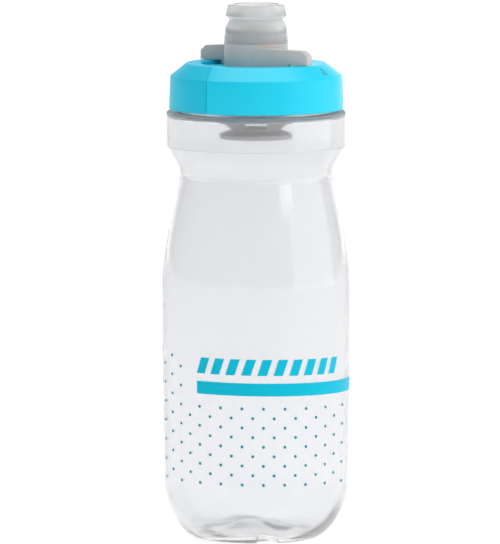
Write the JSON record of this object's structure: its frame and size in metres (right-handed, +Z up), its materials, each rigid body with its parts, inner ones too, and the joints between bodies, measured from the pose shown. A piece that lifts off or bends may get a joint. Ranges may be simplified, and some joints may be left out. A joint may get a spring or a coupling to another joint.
{
  "type": "sports squeeze bottle",
  "caption": "Soft squeeze bottle with a gripped waist, a screw cap, a quarter-turn winged lock dial and a self-sealing drinking nozzle.",
  "frame": {"origin": "centre of the base, on the surface that the bottle stands on", "axes": "+Z up along the bottle's axis, -Y towards the printed front, +X to the right seen from the front"},
  "size_m": [0.0736, 0.0736, 0.2096],
  "materials": {
    "clear_body": "translucent, soft blow-moulded polyethylene, satin gloss",
    "cap_plastic": "satin moulded, slightly translucent",
    "dial_plastic": "fine matt texture",
    "nozzle_silicone": "translucent silicone, soft sheen",
    "seal_rubber": "smooth silicone rubber",
    "print_ink": "screen-printed ink, slightly proud of the surface"
  },
  "bodies": {
    "bottle": {"bottle_body": "clear_body"},
    "lift": {"rim_seal": "seal_rubber"},
    "cap": {"cap_shell": "cap_plastic", "valve_cage": "dial_plastic", "cage_seal": "seal_rubber"},
    "dial": {"lockout_dial": "dial_plastic", "dial_o_ring": "seal_rubber", "nozzle": "nozzle_silicone"}
  },
  "joints": [
    {"name": "cap_lift", "type": "slide", "parent": "bottle", "child": "lift", "axis": [0, 0, 1], "range_m": [0, 0.0165]},
    {"name": "cap_turn", "type": "hinge", "parent": "lift", "child": "cap", "pos_m": [0, 0, 0.175], "axis": [0, 0, 1], "range_deg": [0, 990]},
    {"name": "dial_turn", "type": "hinge", "parent": "cap", "child": "dial", "pos_m": [0, 0, 0.18], "axis": [0, 0, 1], "range_deg": [-90, 0]}
  ],
  "couplings": [
    {"joint": "cap_lift", "follows": "cap_turn", "m_per_rad": 0.00095492}
  ]
}
